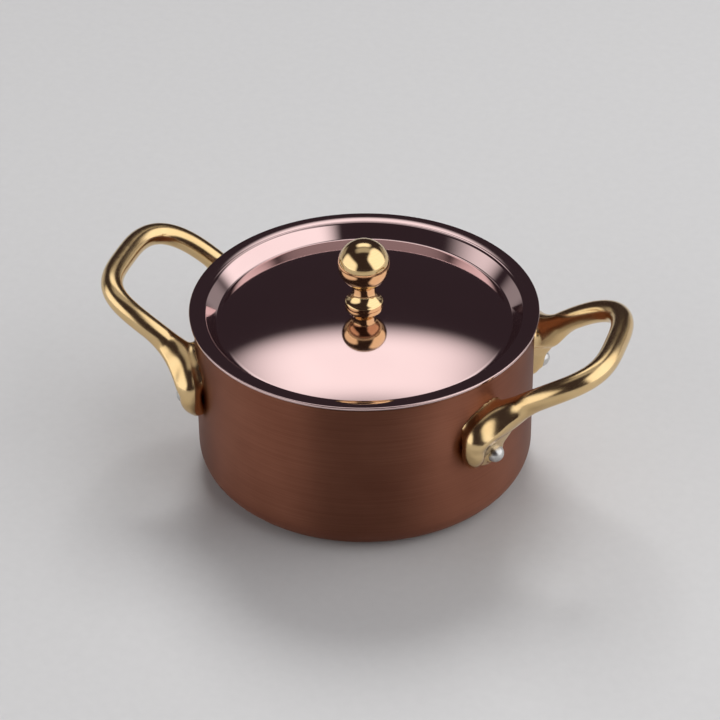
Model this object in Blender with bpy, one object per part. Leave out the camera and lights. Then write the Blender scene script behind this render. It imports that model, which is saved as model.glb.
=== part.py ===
"""Mini cocotte: a small round copper pot with a loose lid.

The pot and the lid are pressed from copper sheet lined with stainless steel.
A turned brass knob is screwed to the lid, and each of the two cast brass loop
handles is held to the wall by two steel rivets.

Frame: metres, +Z up, origin at the centre of the pot's flat base, +X through
the middle of one handle. Each object is one piece of the real product.
"""

import math

import bmesh
import bpy
from mathutils import Matrix, Vector

# Pot
POT_INNER_DIAMETER = 0.0900     # clear width between the walls
POT_HEIGHT = 0.0474             # base to rim
POT_CORNER_RADIUS = 0.0078      # outside, between the wall and the base
POT_COPPER = 0.0009
POT_LINING = 0.0004

# Lid
LID_OVERHANG = 0.0012           # lip past the pot's outer wall
LID_PLAY = 0.00075              # between the recessed part and the pot's wall
LID_COPPER = 0.0006
LID_LINING = 0.0003
LID_EDGE_FLAT = 0.0006          # level part of the lip at its outer edge
LID_LIP_SLOPE = 12.0            # degrees, where the lip turns into the recess
LID_INNER_BEND = 0.0003         # underside's radius where the lip turns down
LID_WALL_SLOPE = 50.0           # degrees, side of the recess
LID_RECESS_DEPTH = 0.0041       # lip to the lowest line of the top
LID_CREASE_RADIUS = 0.00065     # valley between the recess's side and the dome
LID_DOME_RADIUS = 0.1650

# Knob and its screw
KNOB_FOOT_HEIGHT = 0.0010       # straight side of the foot, with its edge
KNOB_FOOT_EDGE = 0.00025
KNOB_FLARE = 0.0038             # radius of the hollow from the neck to the foot
KNOB_FLARE_TURN = 62.0          # degrees that the hollow turns through
KNOB_NECK_WALL = 0.0009         # brass around the screw
KNOB_NECK_LENGTH = 0.0012       # straight part of the neck
KNOB_NECK_FILLET = 0.0010       # between the neck and the ball
KNOB_BALL_RADIUS = 0.0071
KNOB_BORE_DEPTH = 0.0090
SCREW_RADIUS = 0.0020
SCREW_TIP_EDGE = 0.0004
SCREW_END_SPACE = 0.0005        # left free at the end of the knob's bore
SCREW_HEAD_RADIUS = 0.0040
SCREW_HEAD_SIDE = 0.0006        # straight side of the head
SCREW_HEAD_CROWN = 0.0012       # rounded part of the head
SCREW_SLOT_WIDTH = 0.0009
SCREW_SLOT_DEPTH = 0.0008

# Handles
BAR_RADIUS = 0.00305
BAR_TIP_RADIUS = 0.0027         # along the wall, at the bar's lower end
BAR_TIP_THICKNESS = 0.0019      # half the bar's thickness there
BAR_ROOT_SWELL = 0.0006         # the bar is this much thicker where it nears the wall
BAR_SEAT = 0.0002               # depth of the flat that the wall makes in the bar
HANDLE_SPREAD = 0.0408          # between the centre lines of the two arms
HANDLE_REACH = 0.0238           # wall to the centre line of the loop's middle
HANDLE_STRAIGHT = 0.0034        # part of the reach before the loop rounds off
HANDLE_SQUARENESS = 3.2         # 2 is an ellipse, more is squarer
HANDLE_ARM_HEIGHT = 0.0403      # arm's centre line where the loop rounds off
HANDLE_RISE = 0.0108            # from there to the loop's middle
HANDLE_ARM_SLOPE = 36.0         # degrees
HANDLE_END_SLOPE = 16.0         # degrees, at the loop's middle
FOOT_SPREAD = 0.0590            # between the bars of the two feet on the wall
FOOT_DROP = 0.0103              # below the arm, where the bar runs straight down the wall
FOOT_ARM_PULL = 0.0103          # how far the arm's direction carries on
FOOT_WALL_PULL = 0.0087         # how early the bar turns down the wall
FOOT_TAIL_LENGTH = 0.0045
FOOT_TAIL_SWEEP = 0.0016        # the tail bends back towards the rivet
FLANGE_THICKNESS = 0.0032       # at the rivet
FLANGE_SLOPE = 20.0             # degrees, the flange gets thinner downwards
FLANGE_RADIUS = 0.0034          # rounding about the rivet
FLANGE_SHIFT = 0.0003           # this rounding lies inwards of the rivet
FLANGE_DROP = 0.0010            # and below it
FLANGE_BLEND_RADIUS = 0.0013    # where the flange runs into the bar
FLANGE_BOSS_RIM = 0.0004        # round boss under the rivet's head, past the head
FLANGE_TOP = 0.15               # share of the bar's shoulder where the flange begins

# Rivets
RIVET_SPREAD = 0.0468           # between the two rivets of a handle
RIVET_DROP = 0.0042             # below the straight part of the bar
RIVET_SHANK_RADIUS = 0.0016
RIVET_HEAD_RADIUS = 0.0025
RIVET_HEAD_HEIGHT = 0.0024
RIVET_INNER_RADIUS = 0.0030
RIVET_INNER_HEIGHT = 0.0010

# Gap kept between two pieces that touch on the real product
FIT = 0.0003

# Sides and steps of the round shapes
TURN_STEPS = 48
KNOB_STEPS = 28
RIVET_STEPS = 16
BAR_SIDES = 14
LOOP_STEPS = 8
CURVE_STEPS = 6
BAR_TIP_ANGLES = (25, 50, 72)   # degrees round the bar's tip
DOME_ANGLES = (90, 72, 54, 36, 18, 0)   # degrees down a rivet's dome
HEAD_ANGLES = (0, 15, 30, 45, 60)       # degrees round a low head, up to its flat

# Sizes that follow from the ones above
LINING_RADIUS = POT_INNER_DIAMETER / 2
POT_LAYER = POT_COPPER + FIT
POT_RADIUS = LINING_RADIUS + POT_LINING + POT_LAYER
LID_RADIUS = POT_RADIUS + LID_OVERHANG
LID_LAYER = LID_COPPER + FIT
LID_THICKNESS = LID_LAYER + LID_LINING
SCREW_HOLE_RADIUS = SCREW_RADIUS + FIT
NECK_RADIUS = SCREW_HOLE_RADIUS + KNOB_NECK_WALL
KNOB_FOOT_RADIUS = NECK_RADIUS + KNOB_FLARE * (1 - math.cos(math.radians(KNOB_FLARE_TURN)))
KNOB_FLARE_HEIGHT = KNOB_FLARE * math.sin(math.radians(KNOB_FLARE_TURN))
FOOT_HEIGHT = HANDLE_ARM_HEIGHT - FOOT_DROP
RIVET_HEIGHT = FOOT_HEIGHT - RIVET_DROP
SEAT_RADIUS = POT_RADIUS + FIT
FLANGE_FACE_RADIUS = SEAT_RADIUS + FLANGE_THICKNESS
BAR_WALL_RADIUS = SEAT_RADIUS + BAR_RADIUS - BAR_SEAT
FOOT_ANGLE = math.asin(FOOT_SPREAD / 2 / BAR_WALL_RADIUS)
RIVET_ANGLE = math.asin(RIVET_SPREAD / 2 / FLANGE_FACE_RADIUS)
RIVET_HOLE_RADIUS = RIVET_SHANK_RADIUS + FIT


def clear_scene():
    for obj in list(bpy.data.objects):
        bpy.data.objects.remove(obj, do_unlink=True)


def make_material(name, colour, roughness, metallic):
    mat = bpy.data.materials.new(name)
    mat.use_nodes = True
    mat.diffuse_color = (*colour, 1.0)
    shader = mat.node_tree.nodes["Principled BSDF"]
    shader.inputs["Base Color"].default_value = (*colour, 1.0)
    shader.inputs["Roughness"].default_value = roughness
    shader.inputs["Metallic"].default_value = metallic
    return mat


def add_object(name, bm, mat=None):
    """Puts a bmesh in the scene as a named object, its faces turned outwards."""
    bmesh.ops.recalc_face_normals(bm, faces=bm.faces)
    mesh = bpy.data.meshes.new(name)
    bm.to_mesh(mesh)
    bm.free()
    if mat:
        mesh.materials.append(mat)
        mesh.shade_smooth()
        mesh.set_sharp_from_angle(angle=math.radians(35))
    obj = bpy.data.objects.new(name, mesh)
    bpy.context.scene.collection.objects.link(obj)
    return obj


def as_cutter(obj):
    obj.hide_render = True
    obj.display_type = "WIRE"
    return obj


def add_boolean(obj, other, operation):
    modifier = obj.modifiers.new(other.name, "BOOLEAN")
    modifier.operation = operation
    modifier.solver = "EXACT"
    modifier.object = other


def arc(centre, radius, start, end, steps=CURVE_STEPS):
    """Points of an arc in the plane of radius and height, angles in degrees."""
    points = []
    for i in range(steps + 1):
        angle = math.radians(start + (end - start) * i / steps)
        points.append((centre[0] + radius * math.cos(angle), centre[1] + radius * math.sin(angle)))
    return points


def turned(name, profile, steps, mat=None, closed=False):
    """A profile of (radius, height) points turned about Z.

    It runs down its outer side. A closed profile is a ring's section, and any
    other one starts and ends on the axis.
    """
    bm = bmesh.new()
    verts = [bm.verts.new((radius, 0.0, height)) for radius, height in profile]
    pairs = list(zip(verts, verts[1:]))
    if closed:
        pairs.append((verts[-1], verts[0]))
    edges = [bm.edges.new(pair) for pair in pairs]
    bmesh.ops.spin(bm, geom=verts + edges, cent=(0, 0, 0), axis=(0, 0, 1), angle=math.tau,
                   steps=steps, use_merge=True)
    bmesh.ops.remove_doubles(bm, verts=bm.verts, dist=1e-6)
    return add_object(name, bm, mat)


def radial_matrix(angle):
    """Turns local +Z to point out of the pot at rivet height."""
    turn = Matrix.Rotation(angle, 4, "Z") @ Matrix.Rotation(math.pi / 2, 4, "Y")
    return Matrix.Translation((0.0, 0.0, RIVET_HEIGHT)) @ turn


def make_boss(name, angle):
    """The round boss that carries a rivet's head on the sloped flange."""
    radius = RIVET_HEAD_RADIUS + FLANGE_BOSS_RIM
    near, far = LINING_RADIUS, FLANGE_FACE_RADIUS
    profile = [(0, far), (radius, far), (radius, near), (0, near)]
    boss = as_cutter(turned(name, profile, RIVET_STEPS))
    boss.matrix_world = radial_matrix(angle)
    return boss


def make_drill(name, angle):
    """Cutter for one rivet: its hole, and room for its head on the flange."""
    near = LINING_RADIUS / 2
    far = FLANGE_FACE_RADIUS + HANDLE_REACH
    head = RIVET_HEAD_RADIUS + FIT
    profile = [
        (0, far),
        (head, far),
        (head, FLANGE_FACE_RADIUS),
        (RIVET_HOLE_RADIUS, FLANGE_FACE_RADIUS),
        (RIVET_HOLE_RADIUS, near),
        (0, near),
    ]
    drill = as_cutter(turned(name, profile, RIVET_STEPS))
    drill.matrix_world = radial_matrix(angle)
    return drill


def make_cup(name, radius, floor, corner, wall, mat, drills):
    """One layer of the pot: an open cup of even thickness."""
    def side(inset):
        bend = corner - inset
        line = [(radius - inset, POT_HEIGHT)]
        line += arc((radius - corner, floor + corner), bend, 0, -90)
        return line + [(0, floor + inset)]

    profile = side(wall)[::-1] + side(0)
    cup = turned(name, profile, TURN_STEPS, mat)
    for drill in drills:
        add_boolean(cup, drill, "DIFFERENCE")
    return cup


def make_pot(copper, steel, drills):
    make_cup("pot_shell", POT_RADIUS, 0.0, POT_CORNER_RADIUS, POT_COPPER, copper, drills)
    make_cup("pot_lining", POT_RADIUS - POT_LAYER, POT_LAYER, POT_CORNER_RADIUS - POT_LAYER,
             POT_LINING, steel, drills)


class Walker:
    """Follows the lid's top line from the edge towards the axis.

    It keeps radius, height and slope, where a positive slope falls towards
    the axis, and notes each point that it passes.
    """

    def __init__(self, radius):
        self.radius, self.height, self.slope = radius, 0.0, 0.0
        self.points = [(radius, 0.0, 0.0)]

    def step(self, length):
        self.radius -= length * math.cos(self.slope)
        self.height -= length * math.sin(self.slope)

    def bend(self, bend_radius, slope, steps):
        """An arc to a new slope: falling more is a crown, less is a hollow."""
        side = math.copysign(bend_radius, slope - self.slope)
        centre = (self.radius + side * math.sin(self.slope),
                  self.height - side * math.cos(self.slope))
        start = self.slope
        for i in range(steps + 1):
            self.slope = start + (slope - start) * i / steps
            self.radius = centre[0] - side * math.sin(self.slope)
            self.height = centre[1] + side * math.cos(self.slope)
            self.points.append((self.radius, self.height, self.slope))


def lid_line():
    """The lid's top line: lip, crown, side of the recess, crease and dome."""
    lip_slope = math.radians(LID_LIP_SLOPE)
    wall_slope = math.radians(LID_WALL_SLOPE)
    crown = LID_INNER_BEND + LID_THICKNESS
    crown_start = LINING_RADIUS - LID_PLAY - LID_THICKNESS * math.sin(lip_slope)
    lip_radius = (LID_RADIUS - LID_EDGE_FLAT - crown_start) / math.sin(lip_slope)

    line = Walker(LID_RADIUS)
    line.step(LID_EDGE_FLAT)
    line.bend(lip_radius, lip_slope, 2)
    line.bend(crown, wall_slope, 3)
    crease_drop = LID_CREASE_RADIUS * (1 - math.cos(wall_slope))
    line.step((LID_RECESS_DEPTH + line.height - crease_drop) / math.sin(wall_slope))
    crease_centre = line.radius - LID_CREASE_RADIUS * math.sin(wall_slope)
    dome_slope = math.asin(crease_centre / (LID_DOME_RADIUS + LID_CREASE_RADIUS))
    line.bend(LID_CREASE_RADIUS, -dome_slope, 3)
    dome_end = math.asin(SCREW_HOLE_RADIUS / LID_DOME_RADIUS)
    line.bend(LID_DOME_RADIUS, -dome_end, CURVE_STEPS)
    return line.points


def below(line, depth):
    """The line moved down into the sheet, square to itself."""
    moved = []
    for radius, height, slope in line:
        moved.append((radius + depth * math.sin(slope), height - depth * math.cos(slope)))
    return moved


def height_at(points, radius):
    """Height of a line of points that runs inwards, at a radius."""
    for (r0, z0), (r1, z1) in zip(points, points[1:]):
        if r1 <= radius <= r0:
            return z0 + (z1 - z0) * (r0 - radius) / (r0 - r1)
    return points[-1][1]


def lid_layer(name, line, top, bottom, mat):
    """One layer of the lid's sheet, with the screw's hole at its centre."""
    hole = SCREW_HOLE_RADIUS
    upper = [(max(r, hole), z) for r, z in below(line, top)]
    lower = [(max(r, hole), z) for r, z in below(line, bottom)]
    upper[-1] = (hole, upper[-1][1])
    lower[-1] = (hole, lower[-1][1])
    upper[0] = (LID_RADIUS, upper[0][1])
    return turned(name, upper[::-1] + lower, TURN_STEPS, mat, closed=True)


def knob_profile():
    """Ball, neck and flared foot, with a blind bore for the screw."""
    neck = KNOB_FOOT_HEIGHT + KNOB_FLARE_HEIGHT
    neck_top = neck + KNOB_NECK_LENGTH
    across = NECK_RADIUS + KNOB_NECK_FILLET
    reach = KNOB_BALL_RADIUS + KNOB_NECK_FILLET
    ball_centre = neck_top + math.sqrt(reach ** 2 - across ** 2)
    meet = math.degrees(math.atan2(neck_top - ball_centre, across))

    profile = arc((0, ball_centre), KNOB_BALL_RADIUS, 90, meet, 11)
    profile += arc((across, neck_top), KNOB_NECK_FILLET, meet + 180, 180, 2)[1:]
    profile += arc((NECK_RADIUS + KNOB_FLARE, neck), KNOB_FLARE, 180, 180 + KNOB_FLARE_TURN, 4)
    profile += [
        (KNOB_FOOT_RADIUS, KNOB_FOOT_EDGE),
        (KNOB_FOOT_RADIUS - KNOB_FOOT_EDGE, 0),
        (SCREW_HOLE_RADIUS, 0),
        (SCREW_HOLE_RADIUS, KNOB_BORE_DEPTH),
        (0, KNOB_BORE_DEPTH),
    ]
    profile[0] = (0, profile[0][1])
    return profile


def screw_profile(head_top, tip):
    """Plain shank from its tip down to a round head."""
    crown = head_top - SCREW_HEAD_SIDE
    profile = [
        (0, tip),
        (SCREW_RADIUS - SCREW_TIP_EDGE, tip),
        (SCREW_RADIUS, tip - SCREW_TIP_EDGE),
        (SCREW_RADIUS, head_top),
        (SCREW_HEAD_RADIUS, head_top),
    ]
    for degrees in HEAD_ANGLES:
        angle = math.radians(degrees)
        profile.append((SCREW_HEAD_RADIUS * math.cos(angle),
                        crown - SCREW_HEAD_CROWN * math.sin(angle)))
    profile.append((0, profile[-1][1]))
    return profile


def make_slot(bottom):
    """Cutter for the driver's slot across the screw's head."""
    bm = bmesh.new()
    bmesh.ops.create_cube(bm, size=1.0)
    size = (3 * SCREW_HEAD_RADIUS, SCREW_SLOT_WIDTH, 2 * SCREW_SLOT_DEPTH)
    bmesh.ops.scale(bm, vec=size, verts=bm.verts)
    bmesh.ops.translate(bm, vec=(0, 0, bottom), verts=bm.verts)
    return as_cutter(add_object("slot", bm))


def make_lid(copper, steel, brass):
    """The lid's layers with knob and screw, under an empty on the pot's axis."""
    line = lid_line()
    underside = below(line, LID_THICKNESS)
    lip = Vector((0, 0, POT_HEIGHT + FIT - height_at(underside, LINING_RADIUS)))
    dome = line[-1][1]
    parts = [
        lid_layer("lid_shell", line, 0.0, LID_COPPER, copper),
        lid_layer("lid_lining", line, LID_LAYER, LID_THICKNESS, steel),
    ]

    knob = turned("knob", knob_profile(), KNOB_STEPS, brass)
    knob.location.z = dome + FIT
    parts.append(knob)

    head_top = height_at(underside, SCREW_HEAD_RADIUS) - FIT
    tip = dome + FIT + KNOB_BORE_DEPTH - SCREW_END_SPACE
    profile = screw_profile(head_top, tip)
    screw = turned("knob_screw", profile, KNOB_STEPS, steel)
    slot = make_slot(profile[-1][1])
    add_boolean(screw, slot, "DIFFERENCE")
    parts += [screw, slot]

    axis = bpy.data.objects.new("lid_axis", None)
    bpy.context.scene.collection.objects.link(axis)
    axis.location = lip
    for part in parts:
        part.parent = axis


def arm_height(x):
    """Height of the loop's centre line at a distance from the pot's axis."""
    start = POT_RADIUS + HANDLE_STRAIGHT
    length = HANDLE_REACH - HANDLE_STRAIGHT
    t = (x - start) / length
    slopes = (math.tan(math.radians(HANDLE_ARM_SLOPE)), math.tan(math.radians(HANDLE_END_SLOPE)))
    ease = t * t * (3 - 2 * t)
    swing = slopes[0] * t * (1 - t) ** 2 - slopes[1] * t * t * (1 - t)
    return HANDLE_ARM_HEIGHT + HANDLE_RISE * ease + length * swing


def loop_points():
    """Centre line from the loop's middle to where an arm starts to bend.

    In plan it is a quarter of a squared ellipse.
    """
    start = POT_RADIUS + HANDLE_STRAIGHT
    depth = HANDLE_REACH - HANDLE_STRAIGHT
    points = []
    for i in range(LOOP_STEPS + 1):
        angle = math.pi / 2 * i / LOOP_STEPS
        across = abs(math.cos(angle) / depth) ** HANDLE_SQUARENESS
        along = abs(math.sin(angle) / (HANDLE_SPREAD / 2)) ** HANDLE_SQUARENESS
        radius = (across + along) ** (-1 / HANDLE_SQUARENESS)
        x = start + radius * math.cos(angle)
        points.append(Vector((x, radius * math.sin(angle), arm_height(x))))
    return points


def on_wall(radius, angle, height):
    return Vector((radius * math.cos(angle), radius * math.sin(angle), height))


def shoulder_point(t):
    """Centre line where an arm sweeps out along the wall and turns down it."""
    slope = math.radians(HANDLE_ARM_SLOPE)
    start = Vector((POT_RADIUS + HANDLE_STRAIGHT, HANDLE_SPREAD / 2, HANDLE_ARM_HEIGHT))
    end = on_wall(BAR_WALL_RADIUS, FOOT_ANGLE, FOOT_HEIGHT)
    first = start - FOOT_ARM_PULL * Vector((math.cos(slope), 0, math.sin(slope)))
    second = end + FOOT_WALL_PULL * Vector((0, 0, 1))
    s = 1 - t
    return s ** 3 * start + 3 * s * s * t * first + 3 * s * t * t * second + t ** 3 * end


def tail_point(t):
    """Centre line of the bar's lower end on the wall, and half its thickness."""
    angle = FOOT_ANGLE - FOOT_TAIL_SWEEP / BAR_WALL_RADIUS * t * t
    thinner = (BAR_RADIUS - BAR_TIP_THICKNESS) * t * t
    point = on_wall(BAR_WALL_RADIUS - thinner, angle, FOOT_HEIGHT - FOOT_TAIL_LENGTH * t)
    return point, BAR_RADIUS - thinner


def one_hump(t):
    """Rises from 0 to its peak of 1 at a third, and falls back to 0 at 1."""
    return 27 / 4 * t * (1 - t) ** 2


def bar_stations():
    """Centre line from the loop's middle to one rounded tip, and the tip.

    Each station has its centre, its half width and its half thickness.
    """
    stations = [(point, BAR_RADIUS, BAR_RADIUS) for point in loop_points()]
    for i in range(1, CURVE_STEPS + 1):
        t = i / CURVE_STEPS
        swell = BAR_ROOT_SWELL * one_hump(t)
        stations.append((shoulder_point(t), BAR_RADIUS, BAR_RADIUS + swell))
    tail_steps = CURVE_STEPS // 2
    for i in range(1, tail_steps + 1):
        t = i / tail_steps
        point, thickness = tail_point(t)
        stations.append((point, BAR_RADIUS + (BAR_TIP_RADIUS - BAR_RADIUS) * t, thickness))
    end, thickness = tail_point(1)
    forward = (end - stations[-2][0]).normalized()
    for degrees in BAR_TIP_ANGLES:
        angle = math.radians(degrees)
        stations.append((end + forward * BAR_TIP_RADIUS * math.sin(angle),
                         BAR_TIP_RADIUS * math.cos(angle), thickness * math.cos(angle)))
    return stations, end + forward * BAR_TIP_RADIUS


def make_bar(name, mat):
    """The round bar of a handle, from one tip round the loop to the other."""
    half, pole = bar_stations()
    flip = Vector((1, -1, 1))
    stations = [(point * flip, *sizes) for point, *sizes in half[:0:-1]] + half
    bm = bmesh.new()
    rings = []
    for i, (point, width, thickness) in enumerate(stations):
        before = stations[max(i - 1, 0)][0]
        after = stations[min(i + 1, len(stations) - 1)][0]
        forward = (after - before).normalized()
        outward = Vector((point.x, point.y, 0)).normalized() + Vector((0, 0, 1))
        normal = (outward - forward * outward.dot(forward)).normalized()
        side = forward.cross(normal)
        ring = []
        for k in range(BAR_SIDES):
            angle = math.tau * k / BAR_SIDES
            offset = normal * thickness * math.cos(angle) + side * width * math.sin(angle)
            ring.append(bm.verts.new(point + offset))
        rings.append(ring)
    for a, b in zip(rings, rings[1:]):
        for k in range(BAR_SIDES):
            n = (k + 1) % BAR_SIDES
            bm.faces.new((a[k], a[n], b[n], b[k]))
    for ring, tip in ((rings[0], pole * flip), (rings[-1], pole)):
        centre = bm.verts.new(tip)
        for k in range(BAR_SIDES):
            bm.faces.new((ring[k], ring[(k + 1) % BAR_SIDES], centre))
    return add_object(name, bm, mat)


def make_flange(name, sign):
    """The flat ear about a rivet: a hull of discs that runs into the bar."""
    out = on_wall(1, sign * RIVET_ANGLE, 0)
    along = Vector((-out.y, out.x, 0))
    flip = Vector((1, sign, 1))
    seat = out * FLANGE_FACE_RADIUS + Vector((0, 0, RIVET_HEIGHT))
    low = seat - along * sign * FLANGE_SHIFT - Vector((0, 0, FLANGE_DROP))
    discs = [(low, FLANGE_RADIUS)]
    for point in (shoulder_point(FLANGE_TOP), shoulder_point(1), tail_point(1)[0]):
        discs.append((point * flip, FLANGE_BLEND_RADIUS))
    bm = bmesh.new()
    for centre, radius in discs:
        for k in range(RIVET_STEPS):
            angle = math.tau * k / RIVET_STEPS
            x = centre.dot(along) + radius * math.cos(angle)
            z = centre.z + radius * math.sin(angle)
            for depth in (LINING_RADIUS - HANDLE_REACH, SEAT_RADIUS + HANDLE_REACH):
                bm.verts.new(out * depth + along * x + Vector((0, 0, z)))
    hull = bmesh.ops.convex_hull(bm, input=bm.verts)
    inside = [item for item in hull["geom_interior"] if isinstance(item, bmesh.types.BMVert)]
    bmesh.ops.delete(bm, geom=inside, context="VERTS")
    return as_cutter(add_object(name, bm))


def wall_solid(name, radius, slope=0.0):
    """A turned solid whose side has the radius at rivet height and widens upwards."""
    widen = math.tan(math.radians(slope))
    top = RIVET_HEIGHT + HANDLE_REACH
    profile = [
        (0, top),
        (radius + (top - RIVET_HEIGHT) * widen, top),
        (radius - RIVET_HEIGHT * widen, 0),
        (0, 0),
    ]
    return as_cutter(turned(name, profile, TURN_STEPS))


def make_handles(brass, drills):
    """Two equal handles, one each side of the pot."""
    wall = wall_solid("wall", SEAT_RADIUS)
    face = wall_solid("face", FLANGE_FACE_RADIUS, FLANGE_SLOPE)
    for name, turn, pair in (("right", 0, drills[:2]), ("left", math.pi, drills[2:])):
        handle = make_bar("handle_" + name, brass)
        handle.rotation_euler.z = turn
        for side, sign in (("front", -1), ("back", 1)):
            flange = make_flange("flange_%s_%s" % (name, side), sign)
            flange.rotation_euler.z = turn
            add_boolean(flange, face, "INTERSECT")
            add_boolean(handle, flange, "UNION")
            boss = make_boss("boss_%s_%s" % (name, side), turn + sign * RIVET_ANGLE)
            add_boolean(handle, boss, "UNION")
        add_boolean(handle, wall, "DIFFERENCE")
        for drill in pair:
            add_boolean(handle, drill, "DIFFERENCE")


def make_rivets(steel, spots):
    """Each rivet has a domed head outside and a low one inside the pot."""
    under_head = FLANGE_FACE_RADIUS + FIT
    inner_face = math.sqrt(LINING_RADIUS ** 2 - RIVET_INNER_RADIUS ** 2) - FIT
    profile = []
    for degrees in DOME_ANGLES:
        angle = math.radians(degrees)
        profile.append((RIVET_HEAD_RADIUS * math.cos(angle),
                        under_head + RIVET_HEAD_HEIGHT * math.sin(angle)))
    profile[0] = (0, under_head + RIVET_HEAD_HEIGHT)
    profile += [(RIVET_SHANK_RADIUS, under_head), (RIVET_SHANK_RADIUS, inner_face)]
    for degrees in HEAD_ANGLES:
        angle = math.radians(degrees)
        profile.append((RIVET_INNER_RADIUS * math.cos(angle),
                        inner_face - RIVET_INNER_HEIGHT * math.sin(angle)))
    profile.append((0, profile[-1][1]))
    mesh = None
    for name, angle in spots:
        if mesh is None:
            rivet = turned("rivet_" + name, profile, RIVET_STEPS, steel)
            mesh = rivet.data
        else:
            rivet = bpy.data.objects.new("rivet_" + name, mesh)
            bpy.context.scene.collection.objects.link(rivet)
        rivet.matrix_world = radial_matrix(angle)


def main():
    clear_scene()
    copper = make_material("copper", (0.72, 0.38, 0.28), 0.25, 1.0)
    steel = make_material("steel", (0.62, 0.61, 0.60), 0.30, 1.0)
    brass = make_material("brass", (0.75, 0.62, 0.36), 0.15, 1.0)
    spots = [
        ("right_front", -RIVET_ANGLE),
        ("right_back", RIVET_ANGLE),
        ("left_back", math.pi - RIVET_ANGLE),
        ("left_front", math.pi + RIVET_ANGLE),
    ]
    drills = [make_drill("drill_" + name, angle) for name, angle in spots]
    make_pot(copper, steel, drills)
    make_lid(copper, steel, brass)
    make_handles(brass, drills)
    make_rivets(steel, spots)


main()
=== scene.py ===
import math

import bpy
import numpy as np
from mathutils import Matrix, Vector


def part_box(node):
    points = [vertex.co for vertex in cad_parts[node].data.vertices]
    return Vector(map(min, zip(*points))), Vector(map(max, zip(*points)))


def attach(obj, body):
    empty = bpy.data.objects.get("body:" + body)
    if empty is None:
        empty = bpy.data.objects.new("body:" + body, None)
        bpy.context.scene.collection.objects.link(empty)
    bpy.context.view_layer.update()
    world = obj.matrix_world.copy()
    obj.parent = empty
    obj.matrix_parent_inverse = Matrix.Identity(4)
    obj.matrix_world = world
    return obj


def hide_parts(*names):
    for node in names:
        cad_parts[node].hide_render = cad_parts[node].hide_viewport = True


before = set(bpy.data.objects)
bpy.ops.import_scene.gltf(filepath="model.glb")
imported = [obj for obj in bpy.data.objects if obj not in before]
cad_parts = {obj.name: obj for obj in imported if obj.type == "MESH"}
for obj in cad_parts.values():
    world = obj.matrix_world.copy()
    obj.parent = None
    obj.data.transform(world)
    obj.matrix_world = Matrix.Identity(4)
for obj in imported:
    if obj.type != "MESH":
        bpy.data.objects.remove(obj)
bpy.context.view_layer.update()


# The pot: copper sheet lined with steel, drawn into a straight-sided cup with a
# rounded lower edge. Its outside is brushed round and round on a spinning chuck,
# and the cut rim is left bare.

POT_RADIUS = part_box("pot_shell")[1].x
POT_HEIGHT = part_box("pot_shell")[1].z
POT_CORNER = 0.0078         # outside radius between wall and base
POT_COPPER = 0.0012
POT_LINING = 0.0004
RIM_ROUND = 0.0002
SHARP_EDGE = math.radians(35)   # faces that meet at more than this stay crisp


def arc(centre, radius, start, end, steps=12):
    """Points at even angles along an arc, in degrees, as rows of (radius, height)."""
    angle = np.radians(np.linspace(start, end, steps))
    return np.stack([centre[0] + radius * np.cos(angle),
                     centre[1] + radius * np.sin(angle)], -1)


def line(*points):
    """Rows of (radius, height) joined by straight lines."""
    return np.array(points, float)


def add_mesh(name, verts, quads, tris=None):
    """Makes an object of whole arrays, turned so that its faces look outwards.

    The volume inside them, summed over their triangles, is then positive.
    """
    parts = [quads[:, [0, 1, 2]], quads[:, [0, 2, 3]]] + ([] if tris is None else [tris])
    a, b, c = np.moveaxis(verts[np.concatenate(parts)], 1, 0)
    faces = quads.tolist() + ([] if tris is None else tris.tolist())
    mesh = bpy.data.meshes.new(name)
    mesh.from_pydata(verts, [], faces)
    if np.einsum("ij,ij->", a, np.cross(b, c)) < 0:
        mesh.flip_normals()
    mesh.shade_smooth()
    mesh.set_sharp_from_angle(angle=SHARP_EDGE)
    obj = bpy.data.objects.new(name, mesh)
    bpy.context.scene.collection.objects.link(obj)
    return obj


def turned(name, profile, steps=288, axes=np.eye(3), origin=(0, 0, 0)):
    """A profile carried round an axis: (r cos a, r sin a, h) over its rows and the angle a.

    It starts and ends on the axis, or else it is the section of a closed ring. The
    rows of axes say where the local X, Y and Z point.
    """
    on_axis = profile[:, 0] < 1e-7
    closed = not on_axis.any()
    angle = np.linspace(0, math.tau, steps, endpoint=False)
    r, h = profile[~on_axis, 0][:, None], profile[~on_axis, 1][:, None]
    verts = np.stack([r * np.cos(angle), r * np.sin(angle), h + 0 * angle], -1).reshape(-1, 3)
    index = np.arange(len(verts)).reshape(-1, steps)
    a, b = (index, np.roll(index, -1, 0)) if closed else (index[:-1], index[1:])
    quads = np.stack([a, b, np.roll(b, -1, 1), np.roll(a, -1, 1)], -1).reshape(-1, 4)
    tris = None
    if not closed:
        first, last, count = index[0], index[-1], len(verts)
        poles = np.array([[0, 0, profile[0, 1]], [0, 0, profile[-1, 1]]])
        verts = np.concatenate([verts, poles])
        tris = np.concatenate([
            np.stack([np.full(steps, count), first, np.roll(first, -1)], -1),
            np.stack([np.full(steps, count + 1), np.roll(last, -1), last], -1)])
    return add_mesh(name, verts @ np.asarray(axes) + origin, quads, tris)


def cup_profile(radius, floor, corner, wall):
    """Section of a cup of even thickness: up the inside, over the rim and down outside."""
    middle = (radius - corner, floor + corner)
    rim = POT_HEIGHT - RIM_ROUND
    return np.concatenate([
        line((0, floor + wall)),
        arc(middle, corner - wall, -90, 0),
        arc((radius - wall + RIM_ROUND, rim), RIM_ROUND, 180, 90, 5),
        arc((radius - RIM_ROUND, rim), RIM_ROUND, 90, 0, 5),
        arc(middle, corner, 0, -90, 24),
        line((0, floor)),
    ])


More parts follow.
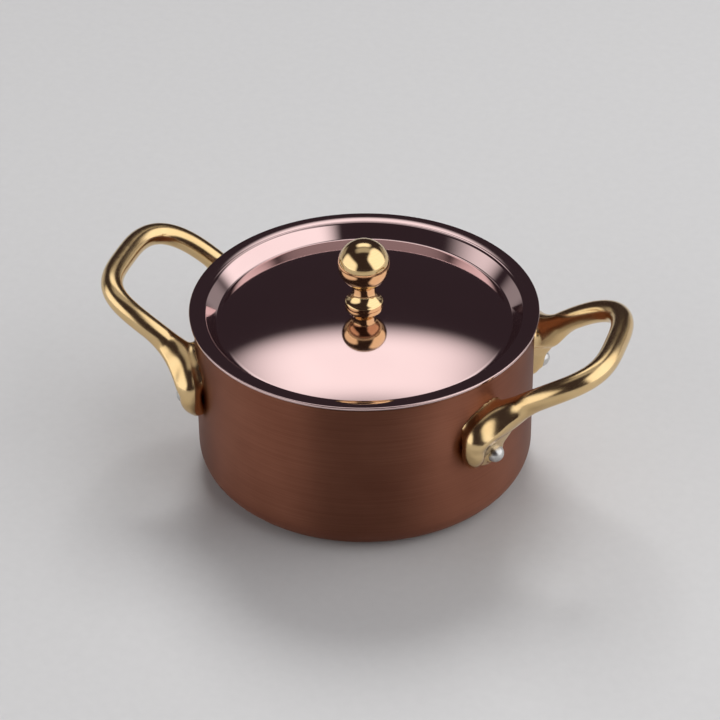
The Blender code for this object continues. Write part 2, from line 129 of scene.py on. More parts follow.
def colour(code):
    """An sRGB hex colour as linear light, with full alpha."""
    values = [int(code[i:i + 2], 16) / 255 for i in (1, 3, 5)]
    return [v / 12.92 if v < 0.04045 else ((v + 0.055) / 1.055) ** 2.4 for v in values] + [1.0]


def new_material(name):
    """A Principled material, with its node tree and its shader."""
    mat = bpy.data.materials.new(name)
    mat.use_nodes = True
    return mat, mat.node_tree, mat.node_tree.nodes["Principled BSDF"]


def add_node(tree, kind, inputs=None, **settings):
    """Adds a node: settings are its properties, and an input is a value or a node's socket.

    Given a node that is already there in place of a kind, it fills that one's inputs.
    """
    node = tree.nodes.new(kind) if isinstance(kind, str) else kind
    for key, value in settings.items():
        setattr(node, key, value)
    for key, value in (inputs or {}).items():
        if isinstance(value, bpy.types.NodeSocket):
            tree.links.new(value, node.inputs[key])
        else:
            node.inputs[key].default_value = value
    return node


# Copper brushed on a chuck. The grit leaves hair lines round the wall about 0.1 mm
# apart; they are drawn 0.25 mm apart so that they show. They blur a reflection up
# and down and hardly to the sides. Handling leaves faint stains 18 mm across.
HAIR_LINE = 0.00025
HAIR_LENGTH = 0.030
STAIN = 0.018

brushed_copper, tree, shader = new_material("copper_brushed_round")
place = add_node(tree, "ShaderNodeTexCoord").outputs["Object"]
along = (1 / HAIR_LENGTH, 1 / HAIR_LENGTH, 1 / HAIR_LINE)
stretch = add_node(tree, "ShaderNodeMapping", {"Vector": place, "Scale": along}).outputs[0]
hairs = add_node(tree, "ShaderNodeTexNoise",
                 {"Vector": stretch, "Scale": 1, "Detail": 3}).outputs[0]
stain = add_node(tree, "ShaderNodeTexNoise",
                 {"Vector": place, "Scale": 1 / STAIN, "Detail": 3}).outputs[0]
tone = add_node(tree, "ShaderNodeMath", {0: hairs, 1: stain}, operation="ADD").outputs[0]
tone = add_node(tree, "ShaderNodeMapRange",
                {"Value": tone, "From Min": 0.7, "From Max": 1.3}).outputs[0]
metal = add_node(tree, "ShaderNodeMix", {0: tone, 6: colour("#7A4C3B"), 7: colour("#8B5B48")},
                 data_type="RGBA").outputs[2]
rough = add_node(tree, "ShaderNodeMapRange",
                 {"Value": hairs, "To Min": 0.40, "To Max": 0.52}).outputs[0]
bump = add_node(tree, "ShaderNodeBump",
                {"Height": hairs, "Strength": 0.10, "Distance": 0.0001}).outputs[0]
round_wall = add_node(tree, "ShaderNodeTangent", direction_type="RADIAL", axis="Z").outputs[0]
add_node(tree, shader, {"Base Color": metal, "Metallic": 1, "Roughness": rough, "Normal": bump,
                        "Tangent": round_wall, "Anisotropic": 0.9, "Anisotropic Rotation": 0.25})

pot = turned("pot_copper", cup_profile(POT_RADIUS, 0, POT_CORNER, POT_COPPER))
pot.data.materials.append(brushed_copper)
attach(pot, "pot")
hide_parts("pot_shell")


# The pot's lining: thin stainless steel, bonded to the copper before the sheet is
# drawn. It is satin inside, with faint rings from the polishing of the finished pot.

# Satin stainless steel. The same hair lines show only in tone and gloss, and leave a
# soft grey sheen that runs round the wall and holds no clear image.
satin_steel, tree, shader = new_material("stainless_steel_satin")
place = add_node(tree, "ShaderNodeTexCoord").outputs["Object"]
along = (1 / HAIR_LENGTH, 1 / HAIR_LENGTH, 1 / HAIR_LINE)
stretch = add_node(tree, "ShaderNodeMapping", {"Vector": place, "Scale": along}).outputs[0]
hairs = add_node(tree, "ShaderNodeTexNoise",
                 {"Vector": stretch, "Scale": 1, "Detail": 2}).outputs[0]
metal = add_node(tree, "ShaderNodeMix", {0: hairs, 6: colour("#B9B7B3"), 7: colour("#D2D0CC")},
                 data_type="RGBA").outputs[2]
rough = add_node(tree, "ShaderNodeMapRange",
                 {"Value": hairs, "To Min": 0.24, "To Max": 0.38}).outputs[0]
round_wall = add_node(tree, "ShaderNodeTangent", direction_type="RADIAL", axis="Z").outputs[0]
add_node(tree, shader, {"Base Color": metal, "Metallic": 1, "Roughness": rough,
                        "Tangent": round_wall, "Anisotropic": 0.5, "Anisotropic Rotation": 0.25})

lining = turned("pot_steel", cup_profile(POT_RADIUS - POT_COPPER, POT_COPPER,
                                         POT_CORNER - POT_COPPER, POT_LINING))
lining.data.materials.append(satin_steel)
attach(lining, "pot")
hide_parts("pot_lining")


# The handles: each is one brass casting, a round bar bent into a raised loop whose
# two ends turn down the wall, with an ear beside each end for a rivet. Castings are
# ground and polished, so every edge of them is soft.

SEAT_GAP = 0.0003           # kept by the solids between handle and wall
BAR = 0.00305               # the bar's radius
BAR_FLAT = 0.0002           # depth of the flat that the wall makes in the bar
ROOT_SWELL = 0.0003         # the bar is this much thicker where it nears the wall
LOOP_STRAIGHT = 0.0034      # wall to where the loop rounds off
LOOP_DEPTH = 0.0204         # from there to the loop's middle
LOOP_HALF = 0.0204          # half the distance between the two arms
SQUARENESS = 3.2            # 2 is an ellipse, more is squarer
ARM_HEIGHT = 0.0403         # where the loop rounds off
LOOP_RISE = 0.0108          # from there to the loop's middle
ARM_SLOPE = math.radians(36)
END_SLOPE = math.radians(16)
FOOT_SPREAD = 0.0590        # between the bars of the two feet on the wall
FOOT_DROP = 0.0103          # below the arm, where the bar runs straight down the wall
ARM_PULL = 0.0103           # how far the arm's direction carries on
WALL_PULL = 0.0087          # how early the bar turns down the wall
TAIL_LENGTH = 0.0045
TAIL_SWEEP = 0.0016         # the tail bends back towards the rivet
TAIL_SINK = 0.0020          # and runs into the wall
TAIL_TAPER = 0.00035
RIVET_SPREAD = 0.0468       # between the two rivets of a handle
RIVET_DROP = 0.0042         # below the straight part of the bar

EAR_THICKNESS = 0.0032      # at the rivet
EAR_SLOPE = math.radians(20)
EAR_EDGE = 0.0014
BOSS_RADIUS = 0.0029        # round seat under the rivet's head
BOSS_EDGE = 0.0005
WALL_CUT = 0.00015          # the casting reaches this far into the copper

SEAT = POT_RADIUS + SEAT_GAP
BAR_AXIS = SEAT + BAR - BAR_FLAT
LOOP_START = POT_RADIUS + LOOP_STRAIGHT
FOOT_ANGLE = math.asin(FOOT_SPREAD / 2 / BAR_AXIS)
FOOT_HEIGHT = ARM_HEIGHT - FOOT_DROP
EAR_ANGLE = math.asin(RIVET_SPREAD / 2 / (SEAT + EAR_THICKNESS))
RIVET_HEIGHT = FOOT_HEIGHT - RIVET_DROP

# Fillets of the casting. The one between bar and ear widens, and the bar flares where
# it meets the wall, between two heights above the rivet
BOSS_FILLET = 0.0008
EAR_FILLET = 0.0007
EAR_FILLET_GROWTH = 0.0043
EAR_FILLET_HEIGHTS = (0.0030, 0.0090)
ROOT_FLARE = 0.0010
ROOT_FLARE_REACH = 0.0022
ROOT_FLARE_HEIGHTS = (0.0060, 0.0110)

# The ear's outline is a chain of discs: along the wall, height and radius, from the rivet
EAR_HEAD = (-0.0001, 0.0, 0.0029)
EAR_CHIN = (0.0003, -0.0019, 0.0031)
EAR_TAIL = (0.0052, -0.0008, 0.0023)
EAR_NECK = (-0.0004, 0.0035, 0.0028)
EAR_SIDE = (0.0040, 0.0040, 0.0030)
EAR_TOP = (-0.0023, 0.0088, 0.0032)

GRID_STEP = 0.0005
GRID_MARGIN = 0.001
SLOPE_STEP = 0.00002


def on_wall(radius, angle, height):
    """The point (radius cos angle, radius sin angle, height)."""
    return np.stack([radius * np.cos(angle), radius * np.sin(angle), height + 0 * angle], -1)


def bar_line(steps=24):
    """Centre line of half a handle, and the bar's radius along it.

    A quarter of a squared ellipse in plan, raised by a cubic in the distance from
    the wall; then a cubic Bezier out along the wall and down it; then the tail.
    """
    angle = np.linspace(0, math.pi / 2, 2 * steps)
    across = ((np.cos(angle) / LOOP_DEPTH) ** SQUARENESS
              + (np.sin(angle) / LOOP_HALF) ** SQUARENESS)
    reach = across ** (-1 / SQUARENESS)
    t = reach * np.cos(angle) / LOOP_DEPTH
    height = ARM_HEIGHT + LOOP_RISE * t * t * (3 - 2 * t) + LOOP_DEPTH * (
        math.tan(ARM_SLOPE) * t * (1 - t) ** 2 - math.tan(END_SLOPE) * t * t * (1 - t))
    loop = np.stack([LOOP_START + LOOP_DEPTH * t, reach * np.sin(angle), height], -1)

    t = np.linspace(0, 1, steps + 1)[1:, None]
    start = np.array([LOOP_START, LOOP_HALF, ARM_HEIGHT])
    end = on_wall(BAR_AXIS, FOOT_ANGLE, FOOT_HEIGHT)
    first = start - ARM_PULL * np.array([math.cos(ARM_SLOPE), 0, math.sin(ARM_SLOPE)])
    second = end + np.array([0, 0, WALL_PULL])
    shoulder = ((1 - t) ** 3 * start + 3 * (1 - t) ** 2 * t * first
                + 3 * (1 - t) * t * t * second + t ** 3 * end)
    swell = ROOT_SWELL * 27 / 4 * t[:, 0] * (1 - t[:, 0]) ** 2

    t = np.linspace(0, 1, steps // 2 + 1)[1:]
    tail = on_wall(BAR_AXIS - TAIL_SINK * t * t, FOOT_ANGLE - TAIL_SWEEP / BAR_AXIS * t * t,
                   FOOT_HEIGHT - TAIL_LENGTH * t)
    points = np.concatenate([loop, shoulder, tail])
    radius = np.concatenate([np.full(len(loop), BAR), BAR + swell, BAR - TAIL_TAPER * t * t])
    return points, radius


LINE, LINE_RADIUS = bar_line()


def spline_point(u):
    """Point, slope and bend of the quadratic B-spline through the line, at u samples along."""
    i = np.clip(np.round(u).astype(int), 1, len(LINE) - 2)
    s = (u - i + 0.5)[:, None]
    a, b, c = LINE[i - 1], LINE[i], LINE[i + 1]
    point = 0.5 * (1 - s) ** 2 * a + (0.5 + s * (1 - s)) * b + 0.5 * s * s * c
    return point, (s - 1) * a + (1 - 2 * s) * b + s * c, a - 2 * b + c


def bar_distance(p, block=20000):
    """Distance to the bar: to the nearest point of its smooth centre line, less the radius.

    The nearest sample is found a block of points at a time, which keeps memory small,
    and is refined by three Newton steps along the spline.
    """
    near = [((p[i:i + block, None] - LINE) ** 2).sum(-1).argmin(1)
            for i in range(0, len(p), block)]
    u = np.clip(np.concatenate(near), 1, len(LINE) - 2).astype(float)
    for _ in range(3):
        point, slope, curve = spline_point(u)
        off = point - p
        speed = (slope * slope).sum(1)
        bend = np.maximum(speed + (off * curve).sum(1), 0.2 * speed)
        u = np.clip(u - (off * slope).sum(1) / bend, 0.5, len(LINE) - 1.5)
    gap = np.linalg.norm(spline_point(u)[0] - p, axis=1)
    return gap - np.interp(u, np.arange(len(LINE)), LINE_RADIUS)


def soft_min(a, b, blend):
    """The smaller of two distances, with a hollow fillet of about the blend's size."""
    h = np.clip(0.5 + 0.5 * (b - a) / blend, 0, 1)
    return b + (a - b) * h - blend * h * (1 - h)


def soft_max(a, b, blend):
    """The larger of two distances, with the edge between them rounded off."""
    return -soft_min(-a, -b, blend)


def rise(x, low, high):
    """0 below low, 1 above high, and smooth between them: 3t² - 2t³."""
    t = np.clip((x - low) / (high - low), 0, 1)
    return t * t * (3 - 2 * t)


def capsule(s, z, a, b):
    """Distance in the plane to the hull of two discs, each (s, z, radius)."""
    (sa, za, ra), (sb, zb, rb) = a, b
    length2 = (sb - sa) ** 2 + (zb - za) ** 2
    t = np.clip(((s - sa) * (sb - sa) + (z - za) * (zb - za)) / length2, 0, 1)
    return np.hypot(s - sa - t * (sb - sa), z - za - t * (zb - za)) - ra - t * (rb - ra)


def handle_distance(p):
    """Distance to a whole handle: bar, ears and bosses run together, cut off at the wall.

    The ear is its outline cut by a cone that leans out upwards. The hollow between
    bar and ear is tight beside the rivet and wide under the arm.
    """
    p = np.stack([p[:, 0], np.abs(p[:, 1]), p[:, 2]], -1)
    radial = np.hypot(p[:, 0], p[:, 1])
    s = SEAT * (np.arctan2(p[:, 1], p[:, 0]) - EAR_ANGLE)
    z = p[:, 2] - RIVET_HEIGHT

    pairs = [(EAR_HEAD, EAR_CHIN), (EAR_CHIN, EAR_TAIL), (EAR_HEAD, EAR_TAIL),
             (EAR_HEAD, EAR_NECK), (EAR_NECK, EAR_TOP), (EAR_NECK, EAR_SIDE),
             (EAR_SIDE, EAR_TAIL), (EAR_SIDE, EAR_TOP)]
    outline = np.min([capsule(s, z, *pair) for pair in pairs], axis=0)
    face = (radial - SEAT - EAR_THICKNESS - z * math.tan(EAR_SLOPE)) * math.cos(EAR_SLOPE)
    ear = soft_max(outline, face, EAR_EDGE)
    out = np.array([math.cos(EAR_ANGLE), math.sin(EAR_ANGLE), 0])
    across = np.array([-math.sin(EAR_ANGLE), math.cos(EAR_ANGLE), 0])
    boss = soft_max(np.hypot(p @ across, z) - BOSS_RADIUS, p @ out - SEAT - EAR_THICKNESS,
                    BOSS_EDGE)
    ear = soft_min(ear, boss, BOSS_FILLET)

    fillet = EAR_FILLET + EAR_FILLET_GROWTH * rise(z, *EAR_FILLET_HEIGHTS)
    whole = soft_min(bar_distance(p), ear, fillet)
    near = np.clip(1 - (radial - POT_RADIUS) / ROOT_FLARE_REACH, 0, 1)
    whole = whole - ROOT_FLARE * near ** 2 * rise(z, *ROOT_FLARE_HEIGHTS)
    return np.maximum(whole, POT_RADIUS - WALL_CUT - radial)


def surface_of(distance, low, high, step):
    """The surface where a distance is zero, as arrays of points, quads and normals.

    Each grid cell that the surface crosses gets one point, at the mean of the
    crossings on its edges. The points are then moved along the slope of the
    distance until they lie on the surface, and evened out along it. The shape is
    the same on both sides of y = 0, so the distance is worked out on one side.
    """
    count = np.ceil((high - low) / step).astype(int)
    axes = [low[0] + step * np.arange(count[0]),
            step * (np.arange((count[1] + 1) // 2) + 0.5),
            low[2] + step * np.arange(count[2])]
    grid = np.stack(np.meshgrid(*axes, indexing="ij"), -1)
    half = distance(grid.reshape(-1, 3)).reshape(grid.shape[:3])
    field = np.concatenate([half[:, ::-1], half], 1)
    origin = np.array([axes[0][0], -axes[1][-1], axes[2][0]])
    inside = field < 0
    shape = np.array(field.shape) - 1
    unit = np.eye(3, dtype=int)

    def at_corner(a):
        return field[a[0]:a[0] + shape[0], a[1]:a[1] + shape[1], a[2]:a[2] + shape[2]]

    total, hits = np.zeros((*shape, 3)), np.zeros(shape)
    for a in np.ndindex(2, 2, 2):
        for axis in (k for k in range(3) if a[k] == 0):
            b = a + unit[axis]
            fa, fb = at_corner(a), at_corner(b)
            cross = (fa < 0) != (fb < 0)
            t = np.where(cross, fa / np.where(cross, fa - fb, 1), 0)
            total += np.where(cross[..., None], a + t[..., None] * (b - a), 0)
            hits += cross
    used = hits > 0
    number = np.cumsum(used.ravel()).reshape(shape) - 1
    verts = origin + step * (np.argwhere(used) + total[used] / hits[used][:, None])

    # Each grid edge that the surface crosses joins the points of the four cells about it
    quads = []
    for axis in range(3):
        n, m = (axis + 1) % 3, (axis + 2) % 3
        near, far = [slice(None)] * 3, [slice(None)] * 3
        near[axis], far[axis] = slice(None, -1), slice(1, None)
        cell = np.argwhere(inside[tuple(near)] != inside[tuple(far)])
        cell = cell[(cell[:, n] > 0) & (cell[:, m] > 0)]
        cell = cell[(cell[:, n] < shape[n]) & (cell[:, m] < shape[m])]
        around = [cell - unit[n] - unit[m], cell - unit[m], cell, cell - unit[n]]
        quad = np.stack([number[tuple(c.T)] for c in around], -1)
        quads.append(np.where(inside[tuple(cell.T)][:, None], quad, quad[:, ::-1]))
    quads = np.concatenate(quads)

    def slope(p):
        """The distance's slope by central differences, and its direction."""
        g = np.stack([(distance(p + SLOPE_STEP * e) - distance(p - SLOPE_STEP * e))
                      / (2 * SLOPE_STEP) for e in np.eye(3)], -1)
        return g, g / np.maximum(np.linalg.norm(g, axis=1, keepdims=True), 1e-6)

    # Five steps onto the surface. After two of them each point also goes most of the way
    # to the mean of its neighbours, along the surface only
    for turn in range(5):
        g, normal = slope(verts)
        steep = np.maximum(np.linalg.norm(g, axis=1, keepdims=True), 0.3)
        verts = verts - distance(verts)[:, None] * g / steep ** 2
        if turn in (1, 2):
            mean, ways = np.zeros_like(verts), np.zeros(len(verts))
            for k in range(4):
                np.add.at(mean, quads[:, k], verts[quads[:, (k + 1) % 4]])
                np.add.at(ways, quads[:, k], 1)
            move = mean / ways[:, None] - verts
            verts = verts + 0.6 * (move - (move * normal).sum(1, keepdims=True) * normal)
    return verts, quads, slope(verts)[1]


# Cast brass, ground and then polished by hand. Reflections stay readable but soft,
# with the slow waves of hand work, about 6 mm long, and hair lines 0.2 mm apart.
POLISH_WAVE = 0.006
POLISH_HAIR = 0.0002

cast_brass, tree, shader = new_material("brass_cast_polished")
place = add_node(tree, "ShaderNodeTexCoord").outputs["Object"]
waves = add_node(tree, "ShaderNodeTexNoise",
                 {"Vector": place, "Scale": 1 / POLISH_WAVE, "Detail": 1}).outputs[0]
along = (0.12 / POLISH_HAIR, 0.5 / POLISH_HAIR, 1 / POLISH_HAIR)
stretch = add_node(tree, "ShaderNodeMapping", {"Vector": place, "Scale": along}).outputs[0]
hairs = add_node(tree, "ShaderNodeTexNoise",
                 {"Vector": stretch, "Scale": 1, "Detail": 2}).outputs[0]
metal = add_node(tree, "ShaderNodeMix", {0: waves, 6: colour("#D6B47E"), 7: colour("#E4C898")},
                 data_type="RGBA").outputs[2]
rough = add_node(tree, "ShaderNodeMapRange",
                 {"Value": hairs, "To Min": 0.15, "To Max": 0.27}).outputs[0]
soft = add_node(tree, "ShaderNodeBump",
                {"Height": hairs, "Strength": 0.12, "Distance": 0.00005}).outputs[0]
bump = add_node(tree, "ShaderNodeBump", {"Height": waves, "Strength": 0.12,
                                         "Distance": 0.0004, "Normal": soft}).outputs[0]
add_node(tree, shader, {"Base Color": metal, "Metallic": 1, "Roughness": rough, "Normal": bump})

corners = [np.array(corner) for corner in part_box("handle_right")]
verts, quads, normals = surface_of(handle_distance, corners[0] - GRID_MARGIN,
                                   corners[1] + GRID_MARGIN, GRID_STEP)
for side, sign in (("right", 1), ("left", -1)):
    turn = np.array([sign, sign, 1])
    handle = add_mesh("loop_handle_" + side, verts * turn, quads)
    handle.data.normals_split_custom_set_from_vertices(normals * turn)
    handle.data.materials.append(cast_brass)
    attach(handle, "pot")
    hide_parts("handle_" + side)


# The rivets: solid steel, pressed cold through ear and wall. The round head outside
# is struck by a hollow punch, and the tail inside is flattened to a low button.

RIVET_HEAD = 0.0025         # radius
RIVET_HEAD_RISE = 0.0025
RIVET_SHANK = 0.0016        # radius
RIVET_BUTTON = 0.0030       # radius
RIVET_BUTTON_RISE = 0.0010
RIVET_SINK = 0.0001         # the head's base lies this far in the ear
BUTTON_STAND = 0.0001       # and the button's flat base this far off the curved wall

# Steel headed cold. The punch leaves shallow dents about 1 mm across, which break up
# the reflection and make the head look hammered and a little dull.
PUNCH_MARK = 0.0010

struck_steel, tree, shader = new_material("steel_cold_headed")
place = add_node(tree, "ShaderNodeTexCoord").outputs["Object"]
dents = add_node(tree, "ShaderNodeTexNoise",
                 {"Vector": place, "Scale": 1 / PUNCH_MARK, "Detail": 3}).outputs[0]
metal = add_node(tree, "ShaderNodeMix", {0: dents, 6: colour("#A9A8A6"), 7: colour("#E2E1DF")},
                 data_type="RGBA").outputs[2]
rough = add_node(tree, "ShaderNodeMapRange",
                 {"Value": dents, "To Min": 0.24, "To Max": 0.42}).outputs[0]
bump = add_node(tree, "ShaderNodeBump",
                {"Height": dents, "Strength": 0.20, "Distance": 0.0002}).outputs[0]
add_node(tree, shader, {"Base Color": metal, "Metallic": 1, "Roughness": rough, "Normal": bump})

under_head = SEAT + EAR_THICKNESS - RIVET_SINK
inner_face = POT_RADIUS - POT_COPPER - POT_LINING - BUTTON_STAND
dome = np.radians(np.linspace(90, 0, 12))
button = np.radians(np.linspace(0, 90, 9))
profile = np.concatenate([
    np.stack([RIVET_HEAD * np.cos(dome), under_head + RIVET_HEAD_RISE * np.sin(dome)], -1),
    line((RIVET_SHANK, under_head), (RIVET_SHANK, inner_face)),
    np.stack([RIVET_BUTTON * np.cos(button),
              inner_face - RIVET_BUTTON_RISE * np.sin(button)], -1),
])
for node, angle in (("right_front", -EAR_ANGLE), ("right_back", EAR_ANGLE),
                    ("left_back", math.pi - EAR_ANGLE), ("left_front", math.pi + EAR_ANGLE)):
    out = np.array([math.cos(angle), math.sin(angle), 0])
    across = np.array([-math.sin(angle), math.cos(angle), 0])
    rivet = turned("rivet_steel_" + node, profile, 48, (across, (0, 0, 1), out),
                   (0, 0, RIVET_HEIGHT))
    rivet.data.materials.append(struck_steel)
    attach(rivet, "pot")
    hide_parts("rivet_" + node)


# The lid: the same lined sheet, spun over a former. A narrow lip lies on the pot's
# rim, the side drops into the pot and keeps the lid in place, and a low dome rises
# from the crease. The top is mirror polished.

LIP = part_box("lid_shell")[1].x
LID_LEVEL = 0.04911         # top of the lip
LID_COPPER = 0.0008
LID_SHEET = 0.0012          # copper and lining
LID_DOME = 0.1650           # radius of the dome
LID_HOLE = 0.0023           # radius of the screw's hole
LID_PLAY = 0.00075          # between the lid's side and the pot's wall
LIP_FLAT = 0.0006           # level part of the lip at its outer edge
LIP_SLOPE = math.radians(12)
LID_BEND = 0.0003           # underside's radius where the lip turns down
SIDE_SLOPE = math.radians(50)
RECESS = 0.0041             # lip to the lowest line of the top
CREASE = 0.00065            # radius of the valley between side and dome
LIP_ROUND = 0.00025
LINING_SHORT = 0.0010
LINING_ROUND = 0.0001


def lid_line():
    """Radius, height and slope along the lid's top: lip, crown, side, crease and dome.

    A walk inwards from the edge: straight steps, and arcs that change the slope
    evenly. A positive slope falls towards the axis.
    """
    rows = []
    spot = np.array([LIP, LID_LEVEL])
    slope = 0.0

    def bend(radius, to, steps):
        nonlocal spot, slope
        side = math.copysign(radius, to - slope)
        centre = spot + side * np.array([math.sin(slope), -math.cos(slope)])
        a = np.linspace(slope, to, steps)
        rows.append(np.stack([centre[0] - side * np.sin(a), centre[1] + side * np.cos(a), a], -1))
        spot, slope = rows[-1][-1, :2], to

    def walk(length):
        nonlocal spot
        spot = spot - length * np.array([math.cos(slope), math.sin(slope)])

    pot_inside = POT_RADIUS - POT_COPPER - POT_LINING
    crown_start = pot_inside - LID_PLAY - LID_SHEET * math.sin(LIP_SLOPE)
    walk(LIP_FLAT)
    bend((spot[0] - crown_start) / math.sin(LIP_SLOPE), LIP_SLOPE, 10)
    bend(LID_BEND + LID_SHEET, SIDE_SLOPE, 14)
    drop = RECESS - (LID_LEVEL - spot[1]) - CREASE * (1 - math.cos(SIDE_SLOPE))
    walk(drop / math.sin(SIDE_SLOPE))
    bottom = spot[0] - CREASE * math.sin(SIDE_SLOPE)
    bend(CREASE, -math.asin(bottom / (LID_DOME + CREASE)), 12)
    bend(LID_DOME, -math.asin(LID_HOLE / LID_DOME), 60)
    return np.concatenate(rows)


def sheet_profile(rows, top, bottom, radius, edge):
    """Section of one layer: the lid's line moved square to itself by two depths.

    The two are joined at the rim by a rounded edge at the given radius.
    """
    r, h, slope = rows.T
    upper, lower = (np.stack([np.maximum(r + depth * np.sin(slope), LID_HOLE),
                              h - depth * np.cos(slope)], -1) for depth in (top, bottom))
    rim = np.concatenate([arc((radius - edge, LID_LEVEL - top - edge), edge, 90, 0, 7),
                          arc((radius - edge, LID_LEVEL - bottom + edge), edge, 0, -90, 7)])
    return np.concatenate([upper[::-1], rim, lower])


# Copper polished to a mirror on a spinning mop. What stays are rings too fine to see
# one by one, and slow waves from the former, which shade the metal a little.
MOP_RING = 0.00025
FORMER_WAVE = 0.025

mirror_copper, tree, shader = new_material("copper_mirror_polished")
place = add_node(tree, "ShaderNodeTexCoord").outputs["Object"]
flat = add_node(tree, "ShaderNodeVectorMath", {0: place, 1: (1, 1, 0)},
                operation="MULTIPLY").outputs[0]
reach = add_node(tree, "ShaderNodeVectorMath", {0: flat}, operation="LENGTH").outputs["Value"]
rings = add_node(tree, "ShaderNodeTexNoise", {"W": reach, "Scale": 1 / MOP_RING, "Detail": 2},
                 noise_dimensions="1D").outputs[0]
waves = add_node(tree, "ShaderNodeTexNoise",
                 {"Vector": place, "Scale": 1 / FORMER_WAVE, "Detail": 2}).outputs[0]
metal = add_node(tree, "ShaderNodeMix", {0: waves, 6: colour("#CCB1AF"), 7: colour("#D8BDBB")},
                 data_type="RGBA").outputs[2]
rough = add_node(tree, "ShaderNodeMapRange",
                 {"Value": rings, "To Min": 0.04, "To Max": 0.08}).outputs[0]
add_node(tree, shader, {"Base Color": metal, "Metallic": 1, "Roughness": rough})

rows = lid_line()
lid = turned("lid_copper", sheet_profile(rows, 0.0, LID_COPPER, LIP, LIP_ROUND))
lid.data.materials.append(mirror_copper)
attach(lid, "lid")
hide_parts("lid_shell")


# The lid's lining: the steel side of the same sheet, left satin underneath. Its rounded
# edge is set a millimetre in, and the copper's own edge hides it from the side.
# A known flaw: the lid's line starts LIP_FLAT in, which is further out than this edge, so
# both faces run 0.4 mm past the edge and fold back to it. The rows outside it would have
# to be left out of the section.

lid_steel = turned("lid_steel", sheet_profile(rows, LID_COPPER, LID_SHEET,
                                              LIP - LINING_SHORT, LINING_ROUND))
lid_steel.data.materials.append(satin_steel)
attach(lid_steel, "lid")
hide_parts("lid_lining")


# The knob: brass turned on a lathe in one cut from ball to foot, and polished as it
# spins, with a blind hole for the screw that draws the foot down on the dome.

KNOB_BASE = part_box("knob")[0].z
KNOB_SINK = 0.0004          # closes the gap that the solids keep between foot and dome
KNOB_BALL = 0.0071          # radius
KNOB_FILLET = 0.0010        # radius between ball and neck
KNOB_NECK = 0.0032          # radius
KNOB_NECK_LENGTH = 0.0012
KNOB_HOLLOW = 0.0038        # radius of the hollow from the neck to the foot
HOLLOW_TURN = math.radians(62)
KNOB_FOOT_HEIGHT = 0.0010
KNOB_EDGE = 0.00025
KNOB_BORE = 0.0023          # radius
KNOB_BORE_DEPTH = 0.0090

seat = KNOB_BASE - KNOB_SINK
foot = KNOB_NECK + KNOB_HOLLOW * (1 - math.cos(HOLLOW_TURN))
foot_top = KNOB_BASE + KNOB_FOOT_HEIGHT
neck = foot_top + KNOB_HOLLOW * math.sin(HOLLOW_TURN)
neck_top = neck + KNOB_NECK_LENGTH
fillet = KNOB_NECK + KNOB_FILLET
ball = neck_top + math.sqrt((KNOB_BALL + KNOB_FILLET) ** 2 - fillet ** 2)
meet = math.degrees(math.atan2(neck_top - ball, fillet))
bore_end = KNOB_BASE + KNOB_BORE_DEPTH
profile = np.concatenate([
    arc((0, ball), KNOB_BALL, 90, meet, 48),
    arc((fillet, neck_top), KNOB_FILLET, meet + 180, 180, 8)[1:],
    arc((KNOB_NECK + KNOB_HOLLOW, neck), KNOB_HOLLOW,
        180, 180 + math.degrees(HOLLOW_TURN), 20)[:-1],
    arc((foot - KNOB_EDGE, foot_top - KNOB_EDGE), KNOB_EDGE, 50, 0, 5),
    arc((foot - KNOB_EDGE, seat + KNOB_EDGE), KNOB_EDGE, 0, -90, 5),
    line((KNOB_BORE, seat), (KNOB_BORE, bore_end), (0, bore_end)),
])

# Turned brass, polished to a mirror. The tool leaves rings 0.2 mm apart, which a cloth
# has worn down until they only soften a reflection a little.
TURNING = 0.0002

turned_brass, tree, shader = new_material("brass_turned_polished")
place = add_node(tree, "ShaderNodeTexCoord").outputs["Object"]
height = add_node(tree, "ShaderNodeSeparateXYZ", {"Vector": place}).outputs["Z"]
rings = add_node(tree, "ShaderNodeTexNoise", {"W": height, "Scale": 1 / TURNING, "Detail": 2},
                 noise_dimensions="1D").outputs[0]
metal = add_node(tree, "ShaderNodeMix", {0: rings, 6: colour("#D9B880"), 7: colour("#E6CB9C")},
                 data_type="RGBA").outputs[2]
rough = add_node(tree, "ShaderNodeMapRange",
                 {"Value": rings, "To Min": 0.07, "To Max": 0.15}).outputs[0]
bump = add_node(tree, "ShaderNodeBump",
                {"Height": rings, "Strength": 0.05, "Distance": 0.00002}).outputs[0]
add_node(tree, shader, {"Base Color": metal, "Metallic": 1, "Roughness": rough, "Normal": bump})

knob = turned("knob_brass", profile, 128)
knob.data.materials.append(turned_brass)
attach(knob, "lid")
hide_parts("knob")


# The knob's screw: a round steel head with a driver's slot, seen under the lid. The
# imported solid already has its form, so it only gets the steel of the rivets.

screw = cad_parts["knob_screw"]
screw.data.materials.clear()
screw.data.materials.append(struck_steel)


# The room: a plain pale floor of matt paper, and the photograph's camera. A wide lamp
# hangs above and behind with a dim one overhead, a soft box stands at each side, and
# two small dim ones stand low at the back. A broad soft sun lights the paper.

PAPER_SIZE = 40
AWAY = 108.6                # degrees, the way the camera looks
LAMP_DISTANCE = 1.0
LAMP_AIM = np.array([0, 0, 0.03])

# Matt paper. Its fibres clump at about 3 mm, which mottles the grey very slightly, and
# it mirrors nothing.
PAPER_FIBRE = 0.003

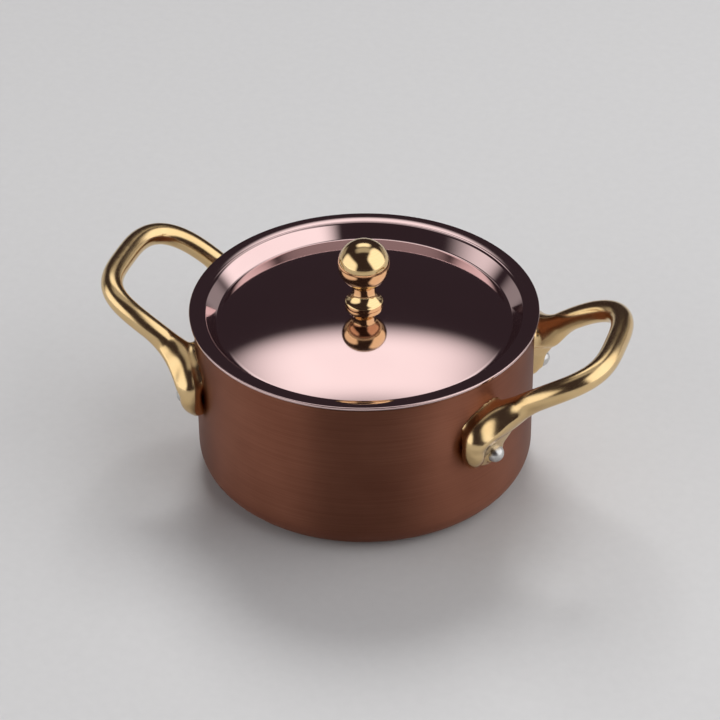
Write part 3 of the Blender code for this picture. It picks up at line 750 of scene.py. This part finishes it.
paper, tree, shader = new_material("paper_sweep")
place = add_node(tree, "ShaderNodeTexCoord").outputs["Object"]
fibre = add_node(tree, "ShaderNodeTexNoise",
                 {"Vector": place, "Scale": 1 / PAPER_FIBRE, "Detail": 3}).outputs[0]
tone = add_node(tree, "ShaderNodeMix", {0: fibre, 6: colour("#D1D1D1"), 7: colour("#D7D7D7")},
                data_type="RGBA").outputs[2]
add_node(tree, shader, {"Base Color": tone, "Roughness": 0.8})
bpy.ops.mesh.primitive_plane_add(size=PAPER_SIZE)
floor = bpy.context.object
floor.name = "floor"
floor.data.materials.append(paper)


def add_light(name, kind, azimuth, elevation):
    """A lamp on the sky about the pot, in degrees, turned to face it."""
    data = bpy.data.lights.new(name, kind)
    obj = bpy.data.objects.new(name, data)
    bpy.context.scene.collection.objects.link(obj)
    turn, tilt = math.radians(azimuth), math.radians(elevation)
    way = np.array([math.cos(tilt) * math.cos(turn), math.cos(tilt) * math.sin(turn),
                    math.sin(tilt)])
    obj.location = LAMP_AIM + LAMP_DISTANCE * way
    obj.rotation_euler = Vector(-way).to_track_quat("-Z", "Y").to_euler()
    return obj, data


def soft_box(name, azimuth, elevation, width, height, brightness, core):
    """A lamp with a cloth face, of the given brightness in its core and dark at its edge.

    With x and y from -1 to 1 over the face, the core is where (x^4 + y^4)^(1/4) is
    under the given share. Its power is pi x area x brightness.
    """
    data = add_light(name, "AREA", azimuth, elevation)[1]
    data.shape = "RECTANGLE"
    data.size, data.size_y = width, height
    data.energy = math.pi * width * height * brightness
    data.use_nodes = True
    tree = data.node_tree
    face = add_node(tree, "ShaderNodeNewGeometry").outputs["Parametric"]
    centred = add_node(tree, "ShaderNodeMapping", {"Vector": face, "Location": (-1, -1, 0),
                                                   "Scale": (2, 2, 0)}).outputs[0]
    squared = add_node(tree, "ShaderNodeVectorMath", {0: centred, 1: centred},
                       operation="MULTIPLY").outputs[0]
    reach = add_node(tree, "ShaderNodeVectorMath", {0: squared},
                     operation="LENGTH").outputs["Value"]
    glow = add_node(tree, "ShaderNodeMapRange",
                    {"Value": reach, "From Min": 1, "From Max": core ** 2},
                    interpolation_type="SMOOTHSTEP").outputs[0]
    add_node(tree, tree.nodes["Emission"], {"Strength": glow})


soft_box("lamp_above", AWAY, 55, 0.94, 0.50, 1.5, 0.3)
soft_box("lamp_top", AWAY, 82, 1.40, 0.60, 0.5, 0.3)
soft_box("lamp_right", 6, 29, 1.95, 1.85, 1.5, 0.6)
soft_box("lamp_left", 217, 12, 1.95, 1.15, 1.4, 0.5)
soft_box("lamp_back_right", 61, 7, 0.60, 0.45, 0.35, 0.3)
soft_box("lamp_back_left", 156, 7, 0.60, 0.45, 0.35, 0.3)
sun, data = add_light("sun_soft", "SUN", AWAY, 45)
data.energy = 1.7
data.angle = math.radians(25)
sun.visible_glossy = False

# The studio round the lamps is dim, and its dark is what the polished metals mirror
world = bpy.data.worlds.new("room")
world.use_nodes = True
world.node_tree.nodes["Background"].inputs["Color"].default_value = colour("#393035")
bpy.context.scene.world = world

# The photograph's camera, solved from the pot's rim and base and from the knob
view = bpy.data.cameras.new("camera")
view.lens = 140
view.sensor_width = 36
camera = bpy.data.objects.new("camera", view)
bpy.context.scene.collection.objects.link(camera)
camera.location = (0.2007, -0.6017, 0.4744)
camera.rotation_euler = (0.9608, 0.0072, 0.3189)
bpy.context.scene.camera = camera
bpy.context.scene.view_settings.view_transform = "Standard"
